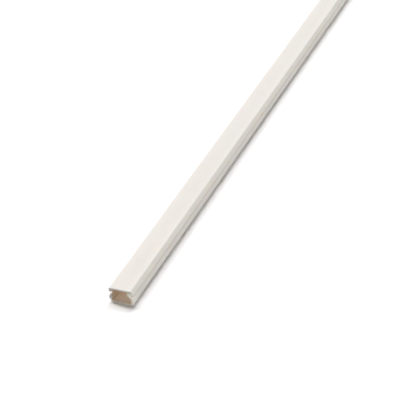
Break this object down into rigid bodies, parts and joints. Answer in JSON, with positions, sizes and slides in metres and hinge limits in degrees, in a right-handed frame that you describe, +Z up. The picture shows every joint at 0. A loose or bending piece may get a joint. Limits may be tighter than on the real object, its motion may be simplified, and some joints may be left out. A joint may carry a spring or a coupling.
{
  "type": "cord cover raceway",
  "caption": "Straight vinyl cord cover with a closed hinged lid, a hooked latch side, a sloping shoulder and a flat mounting face.",
  "frame": {"origin": "middle of the mounting face, at the bottom", "axes": "X along the stick with the pictured end at -X, +Y towards the latch side, -Y towards the hinge side, +Z up from the mounting face to the lid"},
  "size_m": [1.524, 0.019, 0.0114],
  "materials": {
    "ivory_vinyl": "smooth extruded rigid vinyl, ivory"
  },
  "bodies": {
    "root": {"raceway": "ivory_vinyl"}
  },
  "joints": []
}
